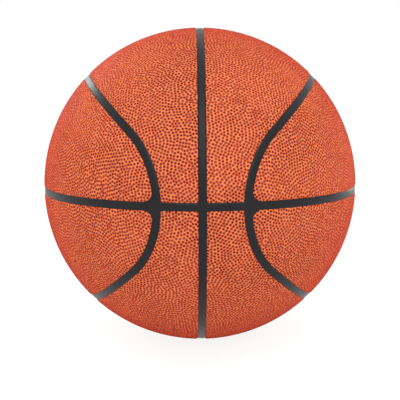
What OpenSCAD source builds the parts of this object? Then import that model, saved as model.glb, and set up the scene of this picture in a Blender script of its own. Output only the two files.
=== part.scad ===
// Laminated basketball, size 7: eight panels of composite leather glued into the
// pockets of a ribbed rubber carcass, over a thread winding, a butyl bladder and a
// needle valve. The tops of the ribs are the black seams.
// Lengths are millimetres, and a length along the cover is an arc. The origin is the
// centre of the ball, +Z is up, and the front crossing of the straight seams faces -Y.

/* [Ball] */
// Distance round the blown up ball
circumference = 760; // [560:1:780]

/* [Seams] */
// Width of a black seam, from panel to panel
seam_w = 5.3; // [3:0.1:6.3]
// Distance from the vertical seam to a curved seam, where both cross the horizontal seam
loop_gap = 28.2; // [25:0.1:34]
// Slant of the curved seams over the ball, in degrees up from the horizontal plane
loop_slant = 45; // [40:0.5:50]
// How far the top of a seam lies below the cover
seam_depth = 0.5; // [0.4:0.05:1.4]

/* [Panels] */
// Thickness of the composite leather
panel_t = 1.8; // [1.5:0.05:2.6]
// Width of the strip where a panel's edge rolls down to the seam
roll_w = 3; // [1.5:0.1:4]
// How far a panel's edge stands above the top of the seam
edge_rise = 0.1; // [0.05:0.05:0.35]
// Radius of a side panel's two corners
side_corner_r = 6.5; // [4.5:0.1:9]
// Radius of a crown panel's four corners
crown_corner_r = 0.9; // [0.5:0.1:3]

/* [Layers under the panels] */
// Wall of the moulded rubber carcass, between its ribs
carcass_t = 1.2; // [0.8:0.05:2.5]
// Thickness of the nylon thread winding
winding_t = 0.6; // [0.4:0.05:1.5]
// Wall of the butyl bladder
bladder_t = 0.8; // [0.5:0.05:1.6]

/* [Valve] */
// Height of the valve above the horizontal seam
valve_rise = 21; // [15:0.5:60]
// Radius of the valve's neck, which shows in a hole in the panel
neck_r = 4; // [3.6:0.1:5]
// How far the neck's mouth lies below the cover
mouth_depth = 0.4; // [0.2:0.05:0.8]
// Chamfer round the mouth
mouth_chamfer = 0.4; // [0.2:0.05:0.5]
// Radius of the flange that is bonded inside the bladder
flange_r = 15; // [9:0.5:20]
// Thickness of that flange
flange_t = 1.4; // [0.8:0.1:2.5]
// Radius of the stem inside the ball, which grips the plug
stem_r = 5; // [4.6:0.1:7]
// Length of the stem, from the bladder's inner face
stem_len = 12; // [10:0.5:20]
// Radius of the plug's shank
shank_r = 2.4; // [2:0.1:2.6]
// How far the plug's head and foot stand out past its shank
plug_lip = 0.7; // [0.4:0.05:0.8]
// Thickness of the plug's head
head_t = 1.2; // [0.8:0.1:2]
// Length of the plug's foot, inside the ball
foot_len = 3; // [2:0.1:5]
// Radius of the hole that guides an inflation needle
needle_r = 1.1; // [1:0.05:1.3]
// Depth of that hole, below its funnel
needle_depth = 8; // [5:0.5:9]
// Depth of the funnel that leads a needle in
funnel_depth = 0.5; // [0.3:0.05:0.7]
// Clearance round the neck, where it passes through the layers
play = 0.15; // [0.05:0.05:0.3]
// Thickness of the glue between the flange and the bladder
glue_t = 0.1; // [0.05:0.05:0.2]

/* [Hidden] */

cover_colour = "#D8643B";
rib_colour = "#2E2F32";
thread_colour = "#E8E4D8";
butyl_colour = "#4A4B50";
plug_colour = "#1C1C1E";

// radii of the layers, from the outside in
ball_r = circumference / (2 * PI);
rib_r = ball_r - seam_depth;
bed_r = ball_r - panel_t;
winding_r = bed_r - carcass_t;
bladder_r = winding_r - winding_t;
air_r = bladder_r - bladder_t;
flange_top_r = air_r - glue_t;
// every cutting solid reaches this far
reach = 2 * ball_r;

// the valve's levels, as distances from the centre of the ball along its own axis
mouth_z = ball_r - mouth_depth;
stem_end_z = air_r - stem_len;
foot_z = stem_end_z - foot_len;
head_z = mouth_z - head_t;
needle_z = mouth_z - funnel_depth;
waist_z = flange_top_r - flange_t / 2;

// counts of straight steps along an outline, odd where they span the ball's middle
corner_steps = 4;
bend_steps = 10;
slant_steps = 37;
seam_steps = 51;
short_steps = 2;
smooth = 180;

// The seam net, as angles seen from the centre of the ball. A curved seam is a great
// circle in the slanted plane, closed at the front and at the back by a bend that is
// tangent to it. The bend is centred on the horizontal seam, bend_turn round from the
// front, and bend_angle is its radius.
function angle(arc_length) = arc_length / ball_r * 180 / PI;
loop_angle = angle(loop_gap);
bend_turn = atan2(sin(loop_angle), cos(loop_angle) - sin(loop_slant));
bend_angle = bend_turn - loop_angle;
bend_axis = [sin(bend_turn), -cos(bend_turn), 0];
slant_axis = [sin(loop_slant), 0, -cos(loop_slant)];
right = [1, 0, 0];
up = [0, 0, 1];

function unit(v) = v / norm(v);
function to_back(v) = [v.x, -v.y, v.z];
// the point that lies turn degrees from a, on the great circle towards b
function from_to(a, b, turn) = a * cos(turn) + unit(b - (a * b) * a) * sin(turn);
// the point at an angle off the plane across axis, on the great circle through p
function off_plane(axis, p, rise) = axis * sin(rise) + unit(p - (axis * p) * axis) * cos(rise);
// a point at height rise over the horizontal seam and turn degrees from the bend's axis
function by_bend(rise, turn) =
    [sin(bend_turn - turn) * cos(rise), -cos(bend_turn - turn) * cos(rise), sin(rise)];
// points of the circle round axis from a to b the short way, without b itself
function arc(axis, a, b, steps) =
    let(h = (axis * a) * axis, x = a - h, y = cross(axis, a), turn = atan2(b * y, b * x))
    [for (i = [0 : steps - 1]) h + x * cos(turn * i / steps) + y * sin(turn * i / steps)];

// Outline of the top right side panel on a ball of radius 1, inset degrees away from the
// middle of its seams, with corners of radius corner degrees
function side_outline(inset, corner) =
    let(
        turn = acos(cos(bend_angle - inset - corner) / cos(inset + corner)),
        round_axis = by_bend(inset + corner, turn),
        start = by_bend(inset, turn),
        bend_start = from_to(bend_axis, round_axis, bend_angle - inset),
        bend_end = from_to(bend_axis, -slant_axis, bend_angle - inset)
    )
    concat(
        arc(up, start, to_back(start), seam_steps),
        arc(to_back(round_axis), to_back(start), to_back(bend_start), corner_steps),
        arc(to_back(bend_axis), to_back(bend_start), to_back(bend_end), bend_steps),
        arc(slant_axis, to_back(bend_end), bend_end, slant_steps),
        arc(bend_axis, bend_end, bend_start, bend_steps),
        arc(round_axis, bend_start, start, corner_steps)
    );

// Outline of the top right crown panel, in the same terms
function crown_outline(inset, corner) =
    let(
        turn = acos(cos(bend_angle + inset + corner) / cos(inset + corner)),
        loop_corner = by_bend(inset + corner, turn),
        loop_start = by_bend(inset, turn),
        bend_start = from_to(bend_axis, loop_corner, bend_angle + inset),
        bend_end = from_to(bend_axis, -slant_axis, bend_angle + inset),
        s = sin(inset + corner),
        front_corner = [s, -sqrt(1 - s * s - s * s), s],
        seam_end = off_plane(right, front_corner, inset),
        front_end = off_plane(up, front_corner, inset)
    )
    concat(
        arc(front_corner, seam_end, front_end, corner_steps),
        arc(up, front_end, loop_start, short_steps),
        arc(loop_corner, loop_start, bend_start, corner_steps),
        arc(bend_axis, bend_start, bend_end, bend_steps),
        arc(slant_axis, bend_end, to_back(bend_end), slant_steps),
        arc(to_back(bend_axis), to_back(bend_end), to_back(bend_start), bend_steps),
        arc(to_back(loop_corner), to_back(bend_start), to_back(loop_start), corner_steps),
        arc(up, to_back(loop_start), to_back(front_end), short_steps),
        arc(to_back(front_corner), to_back(front_end), to_back(seam_end), corner_steps),
        arc(right, to_back(seam_end), seam_end, seam_steps)
    );

// directions in the panels' middles, from which their whole outlines can be seen
side_middle = [cos(loop_slant / 2), 0, sin(loop_slant / 2)];
crown_middle = [sin(loop_angle / 2), 0, cos(loop_angle / 2)];

// Solid from the ball's centre through each ring of points, closed by a fan at the end
module through(rings, middle) {
    count = len(rings[0]);
    last = len(rings) - 1;
    function at(k, i) = 1 + k * count + i % count;
    tip = [for (i = [0 : count - 1]) [0, at(0, i), at(0, i + 1)]];
    low = [
        for (k = [0 : 1 : last - 1], i = [0 : count - 1])
            [at(k, i), at(k + 1, i), at(k, i + 1)]
    ];
    high = [
        for (k = [0 : 1 : last - 1], i = [0 : count - 1])
            [at(k, i + 1), at(k + 1, i), at(k + 1, i + 1)]
    ];
    fan = [for (i = [0 : count - 1]) [at(last, i + 1), at(last, i), 1 + (last + 1) * count]];
    points = concat([[0, 0, 0]], [for (ring = rings) each ring], [middle * reach]);
    polyhedron(points, concat(tip, low, high, fan));
}

// Sphere whose first meridian runs behind the vertical seam, clear of the panels
module ball(radius) {
    rotate([0, 0, 90]) sphere(radius, $fn = smooth);
}

function scaled(outline, radius) = [for (p = outline) p * radius];

// A panel's edge rolls down in two flats, which meet at this share of its width and stand
// there at this share of its height. The upper flat runs on to past_share, where the
// cover cuts it.
meet_share = 0.25;
height_share = 0.66;
past_share = 1.25;
edge_drop = seam_depth - edge_rise;
function rolled_r(share) =
    ball_r - edge_drop * (share < meet_share
        ? 1 - height_share * share / meet_share
        : (1 - height_share) * (1 - share) / (1 - meet_share));

// Radius that is left of a corner at a share of the way over the rolled edge
sharp_share = 0.05;
function corner_r(radius, share) = max(radius - roll_w * share, roll_w * sharp_share);

// A panel's outline at that share
function side_ring(share) =
    side_outline(angle(seam_w / 2 + roll_w * share), angle(corner_r(side_corner_r, share)));
function crown_ring(share) =
    crown_outline(angle(seam_w / 2 + roll_w * share), angle(corner_r(crown_corner_r, share)));

// The space over a panel's bed, as far as the middle of the seams' edges
module side_pocket() {
    difference() {
        through([scaled(side_ring(0), reach)], side_middle);
        ball(bed_r);
    }
}

module crown_pocket() {
    difference() {
        through([scaled(crown_ring(0), reach)], crown_middle);
        ball(bed_r);
    }
}

// Shell between the glued face and the cover's face
module cover_shell() {
    difference() {
        ball(ball_r);
        ball(bed_r);
    }
}

module side_panel() {
    intersection() {
        cover_shell();
        through([
            for (share = [0, meet_share, past_share]) scaled(side_ring(share), rolled_r(share)),
            scaled(side_ring(past_share), reach),
        ], side_middle);
    }
}

module crown_panel() {
    intersection() {
        cover_shell();
        through([
            for (share = [0, meet_share, past_share]) scaled(crown_ring(share), rolled_r(share)),
            scaled(crown_ring(past_share), reach),
        ], crown_middle);
    }
}

// The top right shape, and its mirror images
module to_left() {
    mirror([1, 0, 0]) children();
}

module to_bottom() {
    mirror([0, 0, 1]) children();
}

// The valve stands at the back, in the middle between the vertical and a curved seam
module at_valve() {
    rotate([angle(valve_rise) - 90, 0, -loop_angle / 2]) children();
}

module neck_hole() {
    at_valve() cylinder(r = neck_r + play, h = reach, $fn = smooth);
}

module side_panel_top_right() {
    color(cover_colour) side_panel();
}

module side_panel_top_left() {
    color(cover_colour) to_left() side_panel();
}

module side_panel_bottom_right() {
    color(cover_colour) to_bottom() side_panel();
}

module side_panel_bottom_left() {
    color(cover_colour) to_bottom() to_left() side_panel();
}

module crown_panel_top_right() {
    color(cover_colour) difference() {
        crown_panel();
        neck_hole();
    }
}

module crown_panel_top_left() {
    color(cover_colour) to_left() crown_panel();
}

module crown_panel_bottom_right() {
    color(cover_colour) to_bottom() crown_panel();
}

module crown_panel_bottom_left() {
    color(cover_colour) to_bottom() to_left() crown_panel();
}

// Shell with a pocket for each panel, which leaves the net of ribs standing
module carcass() {
    color(rib_colour) difference() {
        ball(rib_r);
        side_pocket();
        to_left() side_pocket();
        to_bottom() side_pocket();
        to_bottom() to_left() side_pocket();
        crown_pocket();
        to_left() crown_pocket();
        to_bottom() crown_pocket();
        to_bottom() to_left() crown_pocket();
        ball(winding_r);
        neck_hole();
    }
}

module winding() {
    color(thread_colour) difference() {
        ball(winding_r);
        ball(bladder_r);
        neck_hole();
    }
}

module bladder() {
    color(butyl_colour) difference() {
        ball(bladder_r);
        ball(air_r);
        neck_hole();
    }
}

// Flange that follows the bladder, with a neck out through the cover and a stem inside
module valve_housing() {
    color(butyl_colour) at_valve() difference() {
        union() {
            intersection() {
                cylinder(r = flange_r, h = reach, $fn = smooth);
                difference() {
                    ball(flange_top_r);
                    ball(flange_top_r - flange_t);
                }
            }
            rotate_extrude($fn = smooth) polygon([
                [0, stem_end_z],
                [stem_r - mouth_chamfer, stem_end_z],
                [stem_r, stem_end_z + mouth_chamfer],
                [stem_r, waist_z],
                [neck_r, waist_z],
                [neck_r, mouth_z - mouth_chamfer],
                [neck_r - mouth_chamfer, mouth_z],
                [0, mouth_z],
            ]);
        }
        cylinder(r = shank_r, h = reach, $fn = smooth);
        translate([0, 0, head_z]) cylinder(r = shank_r + plug_lip, h = reach, $fn = smooth);
    }
}

// Soft plug with a head in the neck, a foot behind the stem and a blind needle hole
module valve_plug() {
    color(plug_colour) at_valve() rotate_extrude($fn = smooth) polygon([
        [0, foot_z],
        [shank_r, foot_z],
        [shank_r + plug_lip, stem_end_z - plug_lip],
        [shank_r + plug_lip, stem_end_z],
        [shank_r, stem_end_z],
        [shank_r, head_z],
        [shank_r + plug_lip, head_z],
        [shank_r + plug_lip, mouth_z],
        [needle_r + funnel_depth, mouth_z],
        [needle_r, needle_z],
        [needle_r, needle_z - needle_depth],
        [0, needle_z - needle_depth],
    ]);
}

side_panel_top_left();
side_panel_top_right();
side_panel_bottom_left();
side_panel_bottom_right();
crown_panel_top_left();
crown_panel_top_right();
crown_panel_bottom_left();
crown_panel_bottom_right();
carcass();
winding();
bladder();
valve_housing();
valve_plug();
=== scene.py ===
"""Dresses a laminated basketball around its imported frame.

Eight panels of pebbled composite leather and a carcass with crowned ribs replace their
plain solids. The layers under them and the valve keep their solids and get their finishes.
The ball stands on a pale floor under soft studio light.
"""

import logging
import math
from dataclasses import dataclass
from enum import Enum

import bmesh
import bpy
import numpy as np
from mathutils import Euler, Matrix, Vector
from mathutils.kdtree import KDTree


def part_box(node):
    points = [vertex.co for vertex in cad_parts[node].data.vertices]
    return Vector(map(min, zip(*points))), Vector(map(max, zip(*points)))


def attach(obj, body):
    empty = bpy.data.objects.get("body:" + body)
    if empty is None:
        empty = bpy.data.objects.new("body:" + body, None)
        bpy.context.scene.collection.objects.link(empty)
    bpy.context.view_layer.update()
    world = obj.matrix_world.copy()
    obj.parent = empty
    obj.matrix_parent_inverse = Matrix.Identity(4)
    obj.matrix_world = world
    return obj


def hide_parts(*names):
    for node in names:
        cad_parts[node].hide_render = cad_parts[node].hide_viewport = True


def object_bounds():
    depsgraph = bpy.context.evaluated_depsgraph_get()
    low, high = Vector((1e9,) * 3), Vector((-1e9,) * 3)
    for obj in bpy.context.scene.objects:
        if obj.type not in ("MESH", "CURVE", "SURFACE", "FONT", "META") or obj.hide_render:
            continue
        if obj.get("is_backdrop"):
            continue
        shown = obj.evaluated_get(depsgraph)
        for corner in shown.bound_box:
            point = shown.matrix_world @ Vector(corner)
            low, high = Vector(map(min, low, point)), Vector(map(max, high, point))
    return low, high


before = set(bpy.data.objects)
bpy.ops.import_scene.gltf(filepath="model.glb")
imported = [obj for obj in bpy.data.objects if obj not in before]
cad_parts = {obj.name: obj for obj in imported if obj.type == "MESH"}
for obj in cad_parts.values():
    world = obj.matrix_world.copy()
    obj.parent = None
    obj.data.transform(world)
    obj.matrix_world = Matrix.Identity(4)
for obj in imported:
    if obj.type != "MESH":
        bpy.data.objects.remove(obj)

MM = 0.001
ROOT = "root"
log = logging.getLogger("basketball")


class Shape(Enum):
    """The two outlines that the seams leave."""

    SIDE = "side"
    CROWN = "crown"


class Half(Enum):
    """Above or below the horizontal seam, as a sign along Z."""

    TOP = 1
    BOTTOM = -1


class Hand(Enum):
    """Left or right of the vertical seam, as a sign along X."""

    LEFT = -1
    RIGHT = 1


def linear(code: str) -> tuple[float, float, float, float]:
    """Turns an sRGB hex colour into linear light.

    Args:
        code: The colour as six hex digits after a hash.

    Returns:
        Red, green, blue and an alpha of 1.
    """
    shares = [int(code[i : i + 2], 16) / 255 for i in (1, 3, 5)]
    # the sRGB curve is straight near black and a power above that
    light = [s / 12.92 if s <= 0.04045 else ((s + 0.055) / 1.055) ** 2.4 for s in shares]
    return (*light, 1.0)


def add(
    tree: bpy.types.NodeTree,
    kind: str,
    inputs: dict | None = None,
    stops: list[tuple[float, str]] | None = None,
    **settings: object,
) -> bpy.types.Node:
    """Adds a node, sets it up and links it.

    Args:
        tree: The material's or world's node tree.
        kind: The node's type.
        inputs: Values or output sockets for its inputs, by name or number.
        stops: For a colour ramp, its places and hex colours.
        settings: The node's own properties.

    Returns:
        The new node.
    """
    node = tree.nodes.new(kind)
    for name, value in settings.items():
        setattr(node, name, value)
    for name, value in (inputs or {}).items():
        if isinstance(value, bpy.types.NodeSocket):
            tree.links.new(value, node.inputs[name])
        else:
            node.inputs[name].default_value = value
    if stops:
        elements = node.color_ramp.elements
        while len(elements) < len(stops):
            elements.new(1.0)
        for element, (place, code) in zip(elements, stops):
            element.position = place
            element.color = linear(code)
    return node


def new_material(name: str) -> tuple[bpy.types.Material, bpy.types.NodeTree]:
    """Makes an empty node material.

    Args:
        name: The material's name.

    Returns:
        The material and its cleared node tree.
    """
    material = bpy.data.materials.new(name)
    material.use_nodes = True
    material.node_tree.nodes.clear()
    return material, material.node_tree


@dataclass(frozen=True)
class PebbledLeather:
    """Composite leather: soft polyurethane embossed with pebbles, whose tops carry dark ink.

    The eye sees dark round dots on a bright net, a dull gloss and a finer grain in close view.
    Patches of the hide take more ink or less, and are a little lighter or darker.
    """

    name: str = "composite_leather_pebbled"
    ink_full: str = "#280004"
    ink: str = "#621F27"
    ink_thin: str = "#9A4236"
    # where on the scale of inks, from 0 to 1, each of the three is reached
    ink_full_at: float = 0.05
    ink_at: float = 0.4
    ink_thin_at: float = 1.0
    # the wall colour near the pebbles is partly painted shade on their slopes, and the net colour
    # midway between them is a painted highlight
    wall: str = "#DE3A10"
    net: str = "#FF945A"
    dot_r: float = 0.7 * MM
    # the smallest and the largest dot, as shares of the usual one
    dot_least: float = 0.9
    dot_most: float = 1.12
    fade: float = 0.12 * MM
    pitch: float = 2.2 * MM
    grain: float = 0.16 * MM
    grain_detail: float = 2.0
    grain_depth: float = 0.02 * MM
    grain_strength: float = 0.6
    patch: float = 38 * MM
    patch_detail: float = 3.0
    # the noise between these two values makes the patches
    patch_low: float = 0.3
    patch_high: float = 0.7
    patch_ink: float = 0.3
    patch_shade: float = 0.05
    roughness: float = 0.62
    roughness_swing: float = 0.08
    ior: float = 1.47
    specular: float = 0.27
    sheen: float = 1.0
    sheen_roughness: float = 0.5
    sheen_tint: str = "#FF4A2A"

    def material(self) -> bpy.types.Material:
        """Builds the material, which reads the panel's own pebble and ink attributes.

        Returns:
            The material.
        """
        material, tree = new_material(self.name)
        place = add(tree, "ShaderNodeTexCoord")
        pebble = add(tree, "ShaderNodeAttribute", attribute_name="pebble")
        ink = add(tree, "ShaderNodeAttribute", attribute_name="ink")
        half_pitch = self.pitch / 2
        # distance from a pebble's middle, as a share of half the pitch
        share = add(
            tree, "ShaderNodeMapRange",
            {"Value": pebble.outputs["Fac"], "From Max": half_pitch},
        )
        # painted highlight and shade: the net is painted lighter where it lies farthest from the
        # pebbles, and darker and redder close to their slopes
        net = add(
            tree, "ShaderNodeValToRGB", {"Fac": share.outputs["Result"]},
            stops=[(self.dot_r / half_pitch, self.wall), (1.0, self.net)],
        )
        # the ink's edge wanders a little from pebble to pebble
        reach = add(
            tree, "ShaderNodeMapRange",
            {
                "Value": ink.outputs["Fac"],
                "To Min": self.dot_r * self.dot_least,
                "To Max": self.dot_r * self.dot_most,
            },
        )
        inner = add(
            tree, "ShaderNodeMath",
            {0: reach.outputs["Result"], 1: self.fade}, operation="SUBTRACT",
        )
        outer = add(
            tree, "ShaderNodeMath",
            {0: reach.outputs["Result"], 1: self.fade}, operation="ADD",
        )
        inked = add(
            tree, "ShaderNodeMapRange",
            {
                "Value": pebble.outputs["Fac"],
                "From Min": inner.outputs[0],
                "From Max": outer.outputs[0],
                "To Min": 1.0,
                "To Max": 0.0,
            },
            interpolation_type="SMOOTHSTEP",
        )
        # ink lies thicker in some parts of the hide than in others
        patches = add(
            tree, "ShaderNodeTexNoise",
            {
                "Vector": place.outputs["Object"],
                "Scale": 1 / self.patch,
                "Detail": self.patch_detail,
            },
        )
        spread = add(
            tree, "ShaderNodeMapRange",
            {
                "Value": patches.outputs["Fac"],
                "From Min": self.patch_low,
                "From Max": self.patch_high,
                "To Min": -self.patch_ink,
                "To Max": self.patch_ink,
            },
        )
        cover = add(tree, "ShaderNodeMath", {0: ink.outputs["Fac"], 1: spread.outputs["Result"]})
        tone = add(
            tree, "ShaderNodeValToRGB", {"Fac": cover.outputs[0]},
            stops=[
                (self.ink_full_at, self.ink_full),
                (self.ink_at, self.ink),
                (self.ink_thin_at, self.ink_thin),
            ],
        )
        colour = add(
            tree, "ShaderNodeMix",
            {
                "Factor": inked.outputs["Result"],
                "A": net.outputs["Color"],
                "B": tone.outputs["Color"],
            },
            data_type="RGBA",
        )
        shade = add(
            tree, "ShaderNodeMapRange",
            {
                "Value": patches.outputs["Fac"],
                "From Min": self.patch_low,
                "From Max": self.patch_high,
                "To Min": 1 - self.patch_shade,
                "To Max": 1 + self.patch_shade,
            },
        )
        toned = add(
            tree, "ShaderNodeHueSaturation",
            {"Color": colour.outputs["Result"], "Value": shade.outputs["Result"]},
        )
        grain = add(
            tree, "ShaderNodeTexNoise",
            {
                "Vector": place.outputs["Object"],
                "Scale": 1 / self.grain,
                "Detail": self.grain_detail,
            },
        )
        bump = add(
            tree, "ShaderNodeBump",
            {
                "Height": grain.outputs["Fac"],
                "Distance": self.grain_depth,
                "Strength": self.grain_strength,
            },
        )
        rough = add(
            tree, "ShaderNodeMapRange",
            {
                "Value": grain.outputs["Fac"],
                "To Min": self.roughness - self.roughness_swing,
                "To Max": self.roughness + self.roughness_swing,
            },
        )
        shader = add(
            tree, "ShaderNodeBsdfPrincipled",
            {
                "Base Color": toned.outputs["Color"],
                "Roughness": rough.outputs["Result"],
                "IOR": self.ior,
                "Specular IOR Level": self.specular,
                "Sheen Weight": self.sheen,
                "Sheen Roughness": self.sheen_roughness,
                "Sheen Tint": linear(self.sheen_tint),
                "Normal": bump.outputs["Normal"],
            },
        )
        add(tree, "ShaderNodeOutputMaterial", {"Surface": shader.outputs["BSDF"]})
        return material


@dataclass(frozen=True)
class MouldedRubber:
    """Rubber as it leaves its mould.

    The eye sees an even, matt to satin black that is greyer at a flat angle, with a faint
    bloom in patches and a fine grain from the mould.
    """

    name: str
    colour: str
    bloom: str
    roughness: float
    roughness_swing: float = 0.06
    # a mould's grain is finer, and is drawn coarser here so that it shows
    grain: float = 0.35 * MM
    grain_detail: float = 3.0
    grain_depth: float = 0.03 * MM
    grain_strength: float = 0.5
    patch: float = 14 * MM
    patch_detail: float = 4.0
    # the noise at which the rubber is bare, and at which the bloom is full
    bare_at: float = 0.35
    bloom_at: float = 0.7
    ior: float = 1.52
    specular: float = 0.5

    def material(self) -> bpy.types.Material:
        """Builds the material, with its bloom and its grain.

        Returns:
            The material.
        """
        material, tree = new_material(self.name)
        place = add(tree, "ShaderNodeTexCoord")
        patches = add(
            tree, "ShaderNodeTexNoise",
            {
                "Vector": place.outputs["Object"],
                "Scale": 1 / self.patch,
                "Detail": self.patch_detail,
            },
        )
        tone = add(
            tree, "ShaderNodeValToRGB", {"Fac": patches.outputs["Fac"]},
            stops=[(self.bare_at, self.colour), (self.bloom_at, self.bloom)],
        )
        grain = add(
            tree, "ShaderNodeTexNoise",
            {
                "Vector": place.outputs["Object"],
                "Scale": 1 / self.grain,
                "Detail": self.grain_detail,
            },
        )
        bump = add(
            tree, "ShaderNodeBump",
            {
                "Height": grain.outputs["Fac"],
                "Distance": self.grain_depth,
                "Strength": self.grain_strength,
            },
        )
        rough = add(
            tree, "ShaderNodeMapRange",
            {
                "Value": patches.outputs["Fac"],
                "To Min": self.roughness - self.roughness_swing,
                "To Max": self.roughness + self.roughness_swing,
            },
        )
        shader = add(
            tree, "ShaderNodeBsdfPrincipled",
            {
                "Base Color": tone.outputs["Color"],
                "Roughness": rough.outputs["Result"],
                "IOR": self.ior,
                "Specular IOR Level": self.specular,
                "Normal": bump.outputs["Normal"],
            },
        )
        add(tree, "ShaderNodeOutputMaterial", {"Surface": shader.outputs["BSDF"]})
        return material


@dataclass(frozen=True)
class WoundThread:
    """Nylon thread wound over the bladder in great circles and set in latex.

    The eye sees pale threads side by side that cross in several directions, with a dull gloss.
    """

    name: str = "nylon_thread_wound"
    thread: str = "#E6E1D2"
    shade: str = "#B9B19A"
    shade_at: float = 0.2
    thread_at: float = 0.9
    # real thread is about 0.3 mm thick, and is drawn coarser here so that it shows
    spacing: float = 0.9 * MM
    wander: float = 0.4
    height: float = 0.1 * MM
    strength: float = 0.8
    # each set of threads is turned by these angles about X, Y and Z
    turns: tuple[tuple[float, float, float], ...] = (
        (0.0, 0.0, 0.0),
        (1.05, 0.4, 0.0),
        (-0.7, 0.9, 0.5),
    )
    roughness: float = 0.6
    ior: float = 1.53

    def material(self) -> bpy.types.Material:
        """Builds the material from sets of bands that cross each other.

        Returns:
            The material.
        """
        material, tree = new_material(self.name)
        place = add(tree, "ShaderNodeTexCoord")
        # a wave texture at a scale of 1 has a band every tenth of pi
        scale = math.pi / 10 / self.spacing
        bands = None
        for turn in self.turns:
            turned = add(
                tree, "ShaderNodeMapping", {"Vector": place.outputs["Object"], "Rotation": turn},
            )
            wave = add(
                tree, "ShaderNodeTexWave",
                {
                    "Vector": turned.outputs["Vector"],
                    "Scale": scale,
                    "Distortion": self.wander,
                },
                bands_direction="Z",
            )
            if bands is None:
                bands = wave.outputs["Fac"]
            else:
                bands = add(
                    tree, "ShaderNodeMath", {0: bands, 1: wave.outputs["Fac"]}, operation="MAXIMUM",
                ).outputs[0]
        tone = add(
            tree, "ShaderNodeValToRGB", {"Fac": bands},
            stops=[(self.shade_at, self.shade), (self.thread_at, self.thread)],
        )
        bump = add(
            tree, "ShaderNodeBump",
            {"Height": bands, "Distance": self.height, "Strength": self.strength},
        )
        shader = add(
            tree, "ShaderNodeBsdfPrincipled",
            {
                "Base Color": tone.outputs["Color"],
                "Roughness": self.roughness,
                "IOR": self.ior,
                "Normal": bump.outputs["Normal"],
            },
        )
        add(tree, "ShaderNodeOutputMaterial", {"Surface": shader.outputs["BSDF"]})
        return material


@dataclass(frozen=True)
class SeamNet:
    """The seams' course over the ball.

    The straight seams lie in the planes X = 0 and Z = 0. A curved seam is a great circle in
    a slanted plane, closed at the front and at the back by a round bend that is tangent to
    it and centred on the horizontal seam.
    """

    ball_r: float
    seam_w: float = 5.3 * MM
    loop_gap: float = 28.2 * MM
    loop_slant: float = math.radians(45)
    side_corner_r: float = 6.5 * MM
    crown_corner_r: float = 0.9 * MM

    def past_loop(self, rays: np.ndarray) -> np.ndarray:
        """Distance past the middle of the right curved seam, above the horizontal seam.

        Args:
            rays: Unit directions from the ball's centre, as rows.

        Returns:
            Metres along the cover, negative between the two curved seams.
        """
        gap = self.loop_gap / self.ball_r
        bend_turn = math.atan2(math.sin(gap), math.cos(gap) - math.sin(self.loop_slant))
        bend_axis = np.array([math.sin(bend_turn), -math.cos(bend_turn), 0.0])
        slant_axis = np.array([math.sin(self.loop_slant), 0.0, -math.cos(self.loop_slant)])
        # the net's back is its front, mirrored
        front = rays * (1, -1, 1) * np.where(rays[:, 1:2] > 0, 1, (1, -1, 1))
        in_bend = front @ np.cross(bend_axis, slant_axis) < 0
        by_bend = bend_turn - gap - np.arccos(np.clip(front @ bend_axis, -1, 1))
        by_slant = np.arcsin(np.clip(front @ slant_axis, -1, 1))
        return np.where(in_bend, by_bend, by_slant) * self.ball_r

    def inset(self, points: np.ndarray, shape: Shape, hand: Hand, half: Half) -> np.ndarray:
        """How far inside a panel's outline points lie.

        Args:
            points: Places as rows, at any height over the ball.
            shape: Which of the two outlines.
            hand: The panel's side of the vertical seam.
            half: The panel's half of the ball.

        Returns:
            Metres along the cover, negative outside the panel.
        """
        rays = points / np.linalg.norm(points, axis=1, keepdims=True) * (hand.value, 1, half.value)
        past = self.past_loop(rays)
        above = np.arcsin(rays[:, 2]) * self.ball_r - self.seam_w / 2
        if shape is Shape.SIDE:
            across, corner_r = past, self.side_corner_r
        else:
            across = np.minimum(-past, np.arcsin(rays[:, 0]) * self.ball_r)
            corner_r = self.crown_corner_r
        across = across - self.seam_w / 2
        in_corner = (across < corner_r) & (above < corner_r)
        rounded = corner_r - np.hypot(corner_r - across, corner_r - above)
        return np.where(in_corner, rounded, np.minimum(across, above))


@dataclass(frozen=True)
class Weave:
    """How a sheet of triangles is laid over the ball, cut and divided.

    An icosphere is divided, gets triangles of one size and is divided again, so that its
    vertices lie one pitch apart. The sheet is cut along the piece's outline, and what is
    left of it is divided once more.
    """

    # radians about X, Y and Z for each unit of the sheet's seed
    turn: tuple[float, float, float] = (1.1, 2.3, 0.7)
    levels: int = 2
    coarse_cuts: int = 2
    fine_cuts: int = 10
    evening: int = 60
    growth: float = 0.15
    pitch: float = 2.2 * MM
    cuts: int = 3
    # what stays past the outline, in the coarse sheet's longest edges and in pitches
    coarse_margin: float = 1.3
    fine_margin: float = 4.0
    # vertices nearer to the outline than this share of the pitch are moved onto it
    snap: float = 0.3
    # after the cut, a vertex this near is on the outline, a triangle whose middle is less
    # deep is outside, and the ends of a shorter edge become one
    on_edge: float = 0.05 * MM
    least_depth: float = 0.02 * MM
    least_edge: float = 0.06 * MM
    # how a point is brought to the outline: steps, length of a probe, least squared slope
    approach: int = 4
    probe: float = 0.01 * MM
    least_slope: float = 0.1


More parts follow.
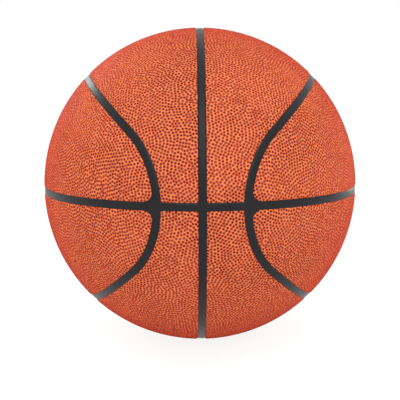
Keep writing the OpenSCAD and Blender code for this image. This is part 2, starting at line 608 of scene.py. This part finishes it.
@dataclass(frozen=True)
class Pebbles:
    """The embossing: pebbles in rows that bend and spread from place to place.

    A slow swirl bends the even sheet's rows, scatter loosens them, and neighbours too close
    together or too far apart move towards an even distance. The scatter and the least and
    greatest distance are shares of the pitch. The shortest and the longest wave are shares
    of the swirl's length.
    """

    swirls: int = 6
    swirl_length: float = 40 * MM
    shortest: float = 0.7
    longest: float = 1.3
    swirl_steps: int = 4
    shear: float = 0.26
    scatter: float = 0.16
    least: float = 0.9
    most: float = 1.2
    rounds: int = 2
    pushes: int = 20
    push: float = 0.25
    top_r: float = 0.66 * MM
    foot_r: float = 1.0 * MM
    height: float = 0.32 * MM
    # where the top starts to fall, as a share of its radius
    shoulder: float = 0.8
    # the ring of points that comes to lie on the top's edge, in shares of half the pitch
    ring_from: float = 0.4
    ring_to: float = 0.75
    # the inks are drawn from the panel's seed and this number
    ink_seed: int = 100
    # the walls and the back have no pebbles, and take this ink
    plain_ink: float = 0.5


@dataclass
class CutSheet:
    """A sheet over the ball that is cut along an outline and closed behind."""

    net: SeamNet
    weave: Weave
    back_r: float
    seed: int

    def inset(self, points: np.ndarray) -> np.ndarray:
        """How far inside the piece's outline points lie, in metres along the cover."""
        raise NotImplementedError

    def onto_ball(self, points: np.ndarray) -> np.ndarray:
        """The points, moved straight in or out to the cover's radius."""
        return points / np.linalg.norm(points, axis=1, keepdims=True) * self.net.ball_r

    def onto_outline(self, points: np.ndarray) -> np.ndarray:
        """Moves points along the cover to the nearest edge of the piece.

        Args:
            points: Places as rows, a few millimetres from the outline at most.

        Returns:
            The moved points, on the ball.
        """
        probe = self.weave.probe
        for _ in range(self.weave.approach):
            here = self.inset(points)
            rises = [self.inset(points + probe * axis) - here for axis in np.eye(3)]
            slope = np.stack(rises, 1) / probe
            steepness = np.maximum((slope**2).sum(1), self.weave.least_slope)
            points = self.onto_ball(points - slope * (here / steepness)[:, None])
        return points

    def drop_beyond(self, bm: bmesh.types.BMesh, reach: float) -> None:
        """Removes what lies farther than the reach outside the outline."""
        far = self.inset(rows_of(bm)) < -reach
        bmesh.ops.delete(bm, geom=[v for v, out in zip(bm.verts, far) if out], context="VERTS")

    def even_out(self, bm: bmesh.types.BMesh) -> None:
        """Lets small triangles grow and large ones shrink until they are of one size.

        Args:
            bm: The sheet, of triangles only.
        """
        points = self.onto_ball(rows_of(bm))
        corners = np.array([[v.index for v in f.verts] for f in bm.faces])
        for _ in range(self.weave.evening):
            spans = points[corners] - points[corners].mean(axis=1, keepdims=True)
            normals = np.cross(spans[:, 1] - spans[:, 0], spans[:, 2] - spans[:, 0])
            areas = np.linalg.norm(normals, axis=1)
            growth = (areas.mean() / areas - 1) * self.weave.growth
            np.add.at(points, corners, spans * growth[:, None, None])
            points = self.onto_ball(points)
        set_rows(bm, points)

    def spread(self) -> bmesh.types.BMesh:
        """Lays even triangles over the piece and a little past it, turned by the seed.

        Returns:
            The sheet, not yet cut.
        """
        bm = bmesh.new()
        turn = Euler([angle * self.seed for angle in self.weave.turn]).to_matrix().to_4x4()
        bmesh.ops.create_icosphere(
            bm, subdivisions=self.weave.levels, radius=self.net.ball_r, matrix=turn
        )
        bmesh.ops.subdivide_edges(
            bm, edges=bm.edges[:], cuts=self.weave.coarse_cuts, use_grid_fill=True
        )
        self.even_out(bm)
        longest = max(e.calc_length() for e in bm.edges)
        self.drop_beyond(bm, self.weave.coarse_margin * longest)
        bmesh.ops.subdivide_edges(
            bm, edges=bm.edges[:], cuts=self.weave.fine_cuts, use_grid_fill=True
        )
        set_rows(bm, self.onto_ball(rows_of(bm)))
        self.drop_beyond(bm, self.weave.fine_margin * self.weave.pitch)
        return bm

    def trim(self, bm: bmesh.types.BMesh) -> None:
        """Cuts the sheet along the outline. Vertices close to it are moved onto it first.

        Args:
            bm: The sheet, which reaches past the outline.
        """
        points = rows_of(bm)
        near = np.abs(self.inset(points)) < self.weave.snap * self.weave.pitch
        points[near] = self.onto_outline(points[near])
        set_rows(bm, points)
        depth = self.inset(points)
        depth[near] = 0.0
        # each edge that crosses the outline gets a vertex there, and new edges join these
        crossed = [e for e in bm.edges if depth[e.verts[0].index] * depth[e.verts[1].index] < 0]
        shares = {}
        for edge in crossed:
            start, end = (depth[v.index] for v in edge.verts)
            shares[edge] = start / (start - end)
        bmesh.ops.bisect_edges(bm, edges=crossed, cuts=1, edge_percents=shares)
        points = rows_of(bm)
        near = np.abs(self.inset(points)) < self.weave.on_edge
        points[near] = self.onto_outline(points[near])
        set_rows(bm, points)
        bmesh.ops.connect_verts(bm, verts=[v for v, at_edge in zip(bm.verts, near) if at_edge])
        depths = self.inset(np.array([f.calc_center_median() for f in bm.faces]))
        outside = [f for f, depth in zip(bm.faces, depths) if depth < self.weave.least_depth]
        bmesh.ops.delete(bm, geom=outside, context="FACES")
        bmesh.ops.dissolve_degenerate(bm, dist=self.weave.least_edge, edges=bm.edges[:])
        bmesh.ops.triangulate(bm, faces=[f for f in bm.faces if len(f.verts) > 3])

    def behind(self, vert: bmesh.types.BMVert) -> bool:
        """Whether a vertex belongs to the back."""
        return vert.co.length < (self.back_r + self.net.ball_r) / 2

    def close_behind(self, bm: bmesh.types.BMesh) -> None:
        """Adds the walls and the back.

        Args:
            bm: The cut sheet, open behind.
        """
        made = bmesh.ops.extrude_face_region(bm, geom=bm.faces[:], use_keep_orig=True)
        for vert in (g for g in made["geom"] if isinstance(g, bmesh.types.BMVert)):
            vert.co *= self.back_r / vert.co.length
        bmesh.ops.recalc_face_normals(bm, faces=bm.faces[:])

    def refine(self, bm: bmesh.types.BMesh) -> list[int]:
        """Divides the outer face into finer triangles, and marks its edge sharp.

        Args:
            bm: The closed piece.

        Returns:
            The places, in the list of vertices, of those on the outer edge.
        """
        outer = [e for e in bm.edges if not any(self.behind(v) for v in e.verts)]
        bmesh.ops.subdivide_edges(bm, edges=outer, cuts=self.weave.cuts, use_grid_fill=True)
        bmesh.ops.triangulate(bm, faces=[f for f in bm.faces if len(f.verts) > 3])
        walls = {f for v in bm.verts if self.behind(v) for f in v.link_faces}
        rim = {v for f in walls for v in f.verts if not self.behind(v)}
        for edge in {e for f in walls for e in f.edges}:
            edge.smooth = not rim.issuperset(edge.verts)
        bm.verts.index_update()
        return [v.index for v in rim]

    def outer_face(self, mesh: bpy.types.Mesh, rim: list[int]) -> tuple[np.ndarray, ...]:
        """Reads the outer face's vertices and draws its edge onto the outline.

        Args:
            mesh: The closed piece.
            rim: The vertices on the outer edge.

        Returns:
            All the places, which of them are outer, and the outer ones.
        """
        points = np.empty(len(mesh.vertices) * 3)
        mesh.vertices.foreach_get("co", points)
        points = points.reshape(-1, 3)
        outer = np.linalg.norm(points, axis=1) > (self.back_r + self.net.ball_r) / 2
        face = self.onto_ball(points[outer])
        on_rim = np.zeros(len(points), bool)
        on_rim[rim] = True
        on_rim = on_rim[outer]
        face[on_rim] = self.onto_outline(face[on_rim])
        return points, outer, face


@dataclass
class CoverPanel(CutSheet):
    """One panel of pebbled composite leather, with rolled edges and a closed back.

    The edge along the seams drops over the width of its roll, and so does the edge round the
    valve's hole, where there is one. A strip along every edge is bare of pebbles.
    """

    pebbles: Pebbles
    shape: Shape
    hand: Hand
    half: Half
    hole_at: Vector | None = None
    hole_r: float = 4.15 * MM
    edge_drop: float = 0.5 * MM
    roll_w: float = 3.0 * MM
    hole_roll_w: float = 0.6 * MM
    hole_drop: float = 0.3 * MM
    bare_edge: float = 0.6 * MM

    @property
    def node(self) -> str:
        """Name of the plain solid that this panel stands for."""
        return f"{self.shape.value}_panel_{self.half.name.lower()}_{self.hand.name.lower()}"

    def from_hole(self, points: np.ndarray) -> np.ndarray:
        """Distance from the edge of the valve's hole, or a large one where there is none.

        Args:
            points: Places as rows, at any height over the ball.

        Returns:
            Metres along the cover, negative inside the hole.
        """
        if self.hole_at is None:
            return np.full(len(points), self.net.ball_r)
        rays = points / np.linalg.norm(points, axis=1, keepdims=True)
        turn = np.arccos(np.clip(rays @ np.array(self.hole_at.normalized()), -1, 1))
        return turn * self.net.ball_r - self.hole_r

    def inset(self, points: np.ndarray) -> np.ndarray:
        """How far inside the outline and the hole's edge points lie, in metres along the cover."""
        outline = self.net.inset(points, self.shape, self.hand, self.half)
        return np.minimum(outline, self.from_hole(points))

    def swirl(self, points: np.ndarray, draws: np.random.Generator) -> np.ndarray:
        """Moves the points along a slow swirl, which keeps their density.

        Args:
            points: Places on the ball, as rows.
            draws: The source of the swirl's directions.

        Returns:
            The moved points, on the ball.
        """
        waves = []
        for _ in range(self.pebbles.swirls):
            wave = draws.normal(size=3)
            stretch = draws.uniform(self.pebbles.shortest, self.pebbles.longest)
            length = self.pebbles.swirl_length * stretch
            wave *= 2 * math.pi / length / np.linalg.norm(wave)
            waves.append((wave, draws.uniform(0, 2 * math.pi)))
        for _ in range(self.pebbles.swirl_steps):
            rays = points / self.net.ball_r
            moved = points.copy()
            for wave, start in waves:
                reach = self.pebbles.shear / self.pebbles.swirl_steps / (wave @ wave)
                moved += np.cross(rays, wave) * np.cos(points @ wave + start)[:, None] * reach
            points = self.onto_ball(moved)
        return points

    def settle(self, bm: bmesh.types.BMesh, points: np.ndarray) -> np.ndarray:
        """Moves neighbours that are too close apart, and those too far apart together.

        Args:
            bm: The sheet, whose edges join the neighbours.
            points: The vertices' places, as rows.

        Returns:
            The moved points, on the ball.
        """
        starts, ends = np.array([[v.index for v in e.verts] for e in bm.edges]).T
        least = self.pebbles.least * self.weave.pitch
        most = self.pebbles.most * self.weave.pitch
        for _ in range(self.pebbles.pushes):
            along = points[ends] - points[starts]
            length = np.linalg.norm(along, axis=1, keepdims=True)
            excess = (length - np.clip(length, least, most)) / length
            push = along * excess * self.pebbles.push
            np.add.at(points, starts, push)
            np.subtract.at(points, ends, push)
            points = self.onto_ball(points)
        return points

    def bend_rows(self, bm: bmesh.types.BMesh) -> None:
        """Bends the even rows, loosens them and evens out the distances again.

        Args:
            bm: The sheet, whose vertices are the pebbles' middles.
        """
        draws = np.random.default_rng(self.seed)
        set_rows(bm, self.swirl(rows_of(bm), draws))
        even_triangles(bm)
        points = rows_of(bm)
        scatter = draws.normal(size=points.shape) * self.pebbles.scatter * self.weave.pitch
        points = self.onto_ball(points + scatter)
        set_rows(bm, points)
        even_triangles(bm)
        for _ in range(self.pebbles.rounds):
            set_rows(bm, self.settle(bm, points))
            even_triangles(bm)
            points = rows_of(bm)

    def emboss(self, mesh: bpy.types.Mesh, tree: KDTree, inks: np.ndarray, rim: list[int]) -> None:
        """Raises the pebbles, rolls the edges down and stores what the finish reads.

        Args:
            mesh: The closed panel, with flat triangles.
            tree: The pebbles' middles.
            inks: A number from 0 to 1 for each pebble.
            rim: The vertices on the outer edge.
        """
        points, outer, face = self.outer_face(mesh, rim)
        found = [tree.find(p) for p in face]
        middles = np.array([f[0] for f in found])
        which = np.array([f[1] for f in found])
        away = np.array([f[2] for f in found])
        # away from the cut edge, the ring of points round a middle comes to lie on the edge
        # of the pebble's top
        half_pitch = self.weave.pitch / 2
        depth = self.inset(face)
        ring = (away > self.pebbles.ring_from * half_pitch) & (depth > self.weave.pitch)
        ring &= away < self.pebbles.ring_to * half_pitch
        pull = self.pebbles.top_r / away[ring]
        face[ring] = self.onto_ball(middles[ring] + (face[ring] - middles[ring]) * pull[:, None])
        away[ring] = self.pebbles.top_r
        shoulder_r = self.pebbles.top_r * self.pebbles.shoulder
        slope = np.clip((away - shoulder_r) / (self.pebbles.foot_r - shoulder_r), 0, 1)
        raised = 1 - slope * slope * (3 - 2 * slope)
        raised *= np.clip(depth / self.bare_edge, 0, 1)
        outline = self.net.inset(face, self.shape, self.hand, self.half)
        drop = self.edge_drop * quarter_round(outline / self.roll_w)
        drop += self.hole_drop * quarter_round(self.from_hole(face) / self.hole_roll_w)
        heights = self.net.ball_r - drop - self.pebbles.height * (1 - raised)
        points[outer] = face / self.net.ball_r * heights[:, None]
        mesh.vertices.foreach_set("co", points.ravel())
        plain_ink = self.pebbles.plain_ink
        for name, values, plain in (("pebble", away, half_pitch), ("ink", inks[which], plain_ink)):
            stored = np.full(len(points), plain)
            stored[outer] = values
            mesh.attributes.new(name, "FLOAT", "POINT").data.foreach_set("value", stored)
        mesh.update()

    def build(self) -> bpy.types.Object:
        """Makes the panel's mesh and puts it in the scene, in its place on the ball.

        Returns:
            The panel.
        """
        bm = self.spread()
        self.bend_rows(bm)
        tree = KDTree(len(bm.verts))
        for vert in bm.verts:
            tree.insert(vert.co, vert.index)
        tree.balance()
        draws = np.random.default_rng(self.seed + self.pebbles.ink_seed)
        inks = draws.random(len(bm.verts))
        self.trim(bm)
        self.close_behind(bm)
        rim = self.refine(bm)
        panel = new_object(f"pebbled_{self.node}", bm)
        self.emboss(panel.data, tree, inks, rim)
        return panel

    def dress(self, panel: bpy.types.Object, leather: bpy.types.Material) -> None:
        """Gives the panel its leather, hangs it on the ball's body and hides the plain solid that
        it stands for.

        Args:
            panel: The finished panel.
            leather: The cover's material.
        """
        panel.data.materials.append(leather)
        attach(panel, ROOT)
        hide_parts(self.node)
        log.info("%s: %d triangles", panel.name, len(panel.data.polygons))


@dataclass
class RibNet(CutSheet):
    """The moulded net of ribs between the panels, slightly crowned, on the carcass's wall.

    The crest and the flank are depths below the cover. The clearance keeps the ribs clear of
    the panels and of the flat ribs under them.
    """

    crest_depth: float = 0.4 * MM
    flank_depth: float = 0.85 * MM
    shoulder_w: float = 1.5 * MM
    clearance: float = 0.02 * MM

    def inset(self, points: np.ndarray) -> np.ndarray:
        """How far inside the seams points lie.

        Args:
            points: Places as rows, at any height over the ball.

        Returns:
            Metres along the cover, negative under a panel.
        """
        # every quarter of the net is like the one at the top right
        folded = points * np.sign(points * (1, 0, 1) + (0, 1, 0))
        side, crown = (self.net.inset(folded, shape, Hand.RIGHT, Half.TOP) for shape in Shape)
        return -np.maximum(side, crown) - self.clearance

    def crown(self, mesh: bpy.types.Mesh, rim: list[int]) -> None:
        """Rounds the tops of the ribs down to their flanks.

        Args:
            mesh: The closed net of ribs.
            rim: The vertices on its outer edge.
        """
        points, outer, face = self.outer_face(mesh, rim)
        height = self.flank_depth - self.crest_depth
        fall = height * quarter_round(self.inset(face) / self.shoulder_w)
        heights = self.net.ball_r - self.crest_depth - fall
        points[outer] = face / self.net.ball_r * heights[:, None]
        mesh.vertices.foreach_set("co", points.ravel())
        mesh.update()

    def wall(self, bm: bmesh.types.BMesh) -> None:
        """Adds the carcass's plain wall, with its flat ribs lowered under the crowned ones.

        Args:
            bm: What the wall is added to, empty so far.
        """
        bm.from_mesh(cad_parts["carcass"].data)
        _, rib_r = radii_of("carcass")
        flank_r = self.net.ball_r - self.flank_depth - self.clearance
        for vert in bm.verts:
            if vert.co.length > rib_r - self.clearance:
                vert.co *= flank_r / vert.co.length

    def build(self) -> bpy.types.Object:
        """Makes the carcass with its crowned ribs.

        Returns:
            The carcass.
        """
        bm = self.spread()
        self.trim(bm)
        self.close_behind(bm)
        rim = self.refine(bm)
        ribs = new_object("ribs", bm)
        self.crown(ribs.data, rim)
        bm = bmesh.new()
        self.wall(bm)
        bm.from_mesh(ribs.data)
        bpy.data.objects.remove(ribs)
        return new_object("moulded_carcass", bm)

    def dress(self, carcass: bpy.types.Object, rubber: bpy.types.Material) -> None:
        """Gives the carcass its rubber, hangs it on the ball's body and hides the plain carcass
        that it stands for.

        Args:
            carcass: The finished carcass.
            rubber: Its material.
        """
        carcass.data.materials.append(rubber)
        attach(carcass, ROOT)
        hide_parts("carcass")
        log.info("%s: %d triangles", carcass.name, len(carcass.data.polygons))


def new_object(name: str, bm: bmesh.types.BMesh) -> bpy.types.Object:
    """Puts a finished bmesh in the scene as a smooth object, and frees the bmesh.

    Args:
        name: The object's and its mesh's name.
        bm: The finished shape.

    Returns:
        The object, at the origin.
    """
    mesh = bpy.data.meshes.new(name)
    for face in bm.faces:
        face.smooth = True
    bm.to_mesh(mesh)
    bm.free()
    made = bpy.data.objects.new(name, mesh)
    bpy.context.scene.collection.objects.link(made)
    return made


def rows_of(bm: bmesh.types.BMesh) -> np.ndarray:
    """The vertices' places as rows, with their numbers brought up to date."""
    bm.verts.index_update()
    return np.array([v.co for v in bm.verts])


def set_rows(bm: bmesh.types.BMesh, points: np.ndarray) -> None:
    """Moves the vertices to the places in the rows."""
    for vert, place in zip(bm.verts, points):
        vert.co = place


def even_triangles(bm: bmesh.types.BMesh) -> None:
    """Turns edges until the triangles are as even as they can be."""
    bmesh.ops.beautify_fill(bm, faces=bm.faces[:], edges=bm.edges[:], method="ANGLE")


def quarter_round(share: np.ndarray) -> np.ndarray:
    """Drop of a rounded edge, from 1 at its foot to 0 at share 1, as a quarter of an ellipse."""
    left = 1 - np.clip(share, 0, 1)
    return 1 - np.sqrt(1 - left * left)


def radii_of(node: str) -> tuple[float, float]:
    """Reads how near to the ball's centre a solid comes, and how far from it.

    Args:
        node: The solid's name.

    Returns:
        The least and the greatest distance of its vertices from the centre.
    """
    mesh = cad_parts[node].data
    lengths = [v.co.length for v in mesh.vertices]
    return min(lengths), max(lengths)


@dataclass
class Cover:
    """The eight panels."""

    weave: Weave
    pebbles: Pebbles
    leather: PebbledLeather

    def build(self) -> None:
        """Builds and dresses each panel, in its own cut of the leather."""
        bed_r, ball_r = radii_of("crown_panel_top_left")
        net = SeamNet(ball_r)
        low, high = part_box("valve_plug")
        material = self.leather.material()
        seed = 0
        for shape in Shape:
            for half in Half:
                for hand in Hand:
                    seed += 1
                    has_valve = (shape, half, hand) == (Shape.CROWN, Half.TOP, Hand.RIGHT)
                    hole_at = (low + high) / 2 if has_valve else None
                    panel = CoverPanel(
                        net, self.weave, bed_r, seed, self.pebbles, shape, hand, half, hole_at
                    )
                    panel.dress(panel.build(), material)


@dataclass
class Core:
    """The ribbed carcass, the layers under it and the valve."""

    weave: Weave
    carcass: MouldedRubber
    winding: WoundThread
    bladder: MouldedRubber
    valve: MouldedRubber
    plug: MouldedRubber

    def build(self) -> None:
        """Builds the carcass with its crowned ribs, and gives every layer its finish."""
        bed_r, ball_r = radii_of("crown_panel_top_left")
        ribs = RibNet(SeamNet(ball_r), self.weave, bed_r, seed=1)
        rubber = self.carcass.material()
        ribs.dress(ribs.build(), rubber)
        finishes = {
            "carcass": rubber,
            "winding": self.winding.material(),
            "bladder": self.bladder.material(),
            "valve_housing": self.valve.material(),
            "valve_plug": self.plug.material(),
        }
        for node, finish in finishes.items():
            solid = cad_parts[node]
            solid.data.materials.clear()
            solid.data.materials.append(finish)
            log.info("%s: %s", node, finish.name)


@dataclass(frozen=True)
class Lamp:
    """A square soft lamp: its place and its side in metres, and its power in watts."""

    name: str
    place: tuple[float, float, float]
    size: float
    power: float

    def hang(self) -> None:
        """Hangs the lamp, facing the ball."""
        data = bpy.data.lights.new(self.name, "AREA")
        data.size = self.size
        data.energy = self.power
        lamp = bpy.data.objects.new(self.name, data)
        lamp.location = self.place
        lamp.rotation_mode = "QUATERNION"
        lamp.rotation_quaternion = (-Vector(self.place)).to_track_quat("-Z", "Y")
        bpy.context.scene.collection.objects.link(lamp)


@dataclass
class Studio:
    """A pale floor, soft lamps, a bright room and the camera of the photograph."""

    lamps: tuple[Lamp, ...] = (
        Lamp("key", (0.1, -1.45, 1.3), 1.4, 11.3),
        Lamp("rim_left", (-1.2, 1.5, 1.0), 0.8, 8.0),
        Lamp("rim_right", (1.4, 1.4, 0.0), 0.8, 5.0),
    )
    floor_size: float = 60.0
    floor_lit: str = "#E4E4E4"
    floor_seen: str = "#8C8C8C"
    floor_glow: float = 0.87
    white: str = "#FFFFFF"
    room_light: float = 0.74
    camera_distance: float = 467.6 * MM
    azimuth: float = math.radians(-0.77)
    elevation: float = math.radians(6.61)
    roll: float = math.radians(-0.235)
    focal_px: float = 580.9
    photo_px: int = 400
    centre_px: tuple[float, float] = (199.9, 184.3)
    sensor: float = 36.0
    nearest: float = 10 * MM

    def set_camera(self) -> None:
        """Looks at the ball from where the photograph was taken, aimed below its centre."""
        data = bpy.data.cameras.new("camera")
        data.sensor_width = self.sensor
        data.lens = self.focal_px / self.photo_px * self.sensor
        data.clip_start = self.nearest
        camera = bpy.data.objects.new("camera", data)
        back = Vector(
            (
                math.sin(self.azimuth) * math.cos(self.elevation),
                -math.cos(self.azimuth) * math.cos(self.elevation),
                math.sin(self.elevation),
            )
        )
        down = math.atan((self.photo_px / 2 - self.centre_px[1]) / self.focal_px)
        across = math.atan((self.photo_px / 2 - self.centre_px[0]) / self.focal_px)
        camera.matrix_world = (
            Matrix.Translation(back * self.camera_distance)
            @ (-back).to_track_quat("-Z", "Y").to_matrix().to_4x4()
            @ Matrix.Rotation(self.roll, 4, "Z")
            @ Matrix.Rotation(-across, 4, "Y")
            @ Matrix.Rotation(-down, 4, "X")
        )
        bpy.context.scene.collection.objects.link(camera)
        bpy.context.scene.camera = camera

    def lay_floor(self, level: float) -> None:
        """Lays the floor under the ball.

        The ball is lit by a pale floor. The camera sees a greyer one that glows, so that it
        comes out white and keeps a faint shadow.

        Args:
            level: The floor's height.
        """
        bm = bmesh.new()
        bmesh.ops.create_grid(bm, x_segments=1, y_segments=1, size=self.floor_size / 2)
        bmesh.ops.translate(bm, verts=bm.verts[:], vec=(0, 0, level))
        mesh = bpy.data.meshes.new("floor")
        bm.to_mesh(mesh)
        bm.free()
        floor = bpy.data.objects.new("floor", mesh)
        bpy.context.scene.collection.objects.link(floor)
        material, tree = new_material("studio_floor")
        seen = self.seen_rays(tree)
        plain = add(tree, "ShaderNodeBsdfDiffuse", {"Color": linear(self.floor_lit)})
        shadow = add(tree, "ShaderNodeBsdfDiffuse", {"Color": linear(self.floor_seen)})
        glow = add(tree, "ShaderNodeEmission", {"Strength": self.floor_glow})
        bright = add(tree, "ShaderNodeAddShader", {0: shadow.outputs[0], 1: glow.outputs[0]})
        mixed = add(
            tree, "ShaderNodeMixShader",
            {0: seen, 1: plain.outputs[0], 2: bright.outputs[0]},
        )
        add(tree, "ShaderNodeOutputMaterial", {"Surface": mixed.outputs[0]})
        mesh.materials.append(material)
        floor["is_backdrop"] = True

    def seen_rays(self, tree: bpy.types.NodeTree) -> bpy.types.NodeSocket:
        """Adds nodes that tell the rays by which the camera sees from those that light.

        Args:
            tree: The node tree of the floor or the room.

        Returns:
            A socket that is 1 for the camera's own rays, and for those in gloss and glass.
        """
        path = add(tree, "ShaderNodeLightPath")
        gloss = add(
            tree, "ShaderNodeMath",
            {0: path.outputs["Is Camera Ray"], 1: path.outputs["Is Glossy Ray"]},
            operation="MAXIMUM",
        )
        return add(
            tree, "ShaderNodeMath",
            {0: gloss.outputs[0], 1: path.outputs["Is Transmission Ray"]},
            operation="MAXIMUM",
        ).outputs[0]

    def light_room(self) -> None:
        """Fills the room with even light, which the camera sees as plain white."""
        world = bpy.data.worlds.new("room")
        bpy.context.scene.world = world
        world.use_nodes = True
        tree = world.node_tree
        tree.nodes.clear()
        white = linear(self.white)
        room = add(tree, "ShaderNodeBackground", {"Color": white, "Strength": self.room_light})
        wall = add(tree, "ShaderNodeBackground", {"Color": white, "Strength": 1.0})
        mixed = add(
            tree, "ShaderNodeMixShader",
            {0: self.seen_rays(tree), 1: room.outputs[0], 2: wall.outputs[0]},
        )
        add(tree, "ShaderNodeOutputWorld", {"Surface": mixed.outputs[0]})

    def build(self, level: float) -> None:
        """Sets the whole stage.

        Args:
            level: The floor's height.
        """
        self.set_camera()
        self.lay_floor(level)
        self.light_room()
        for lamp in self.lamps:
            lamp.hang()
        bpy.context.scene.view_settings.view_transform = "Standard"


def main() -> None:
    """Builds the ball and its stage."""
    logging.basicConfig(level=logging.INFO, format="%(message)s")
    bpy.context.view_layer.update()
    Cover(Weave(), Pebbles(), PebbledLeather()).build()
    Core(
        weave=Weave(fine_cuts=16, pitch=1.42 * MM, cuts=1),
        carcass=MouldedRubber(
            "moulded_carcass_rubber",
            colour="#100F13",
            bloom="#19171D",
            roughness=0.4,
            specular=0.26,
        ),
        winding=WoundThread(),
        bladder=MouldedRubber(
            "butyl_bladder_rubber", colour="#1E1F22", bloom="#2A2B2F", roughness=0.5
        ),
        valve=MouldedRubber(
            "natural_valve_rubber", colour="#26272A", bloom="#323338", roughness=0.48
        ),
        plug=MouldedRubber("soft_plug_rubber", colour="#151517", bloom="#1F2023", roughness=0.38),
    ).build()
    after = [list(corner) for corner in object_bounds()]
    Studio().build(after[0][2])


if __name__ == "__main__":
    main()
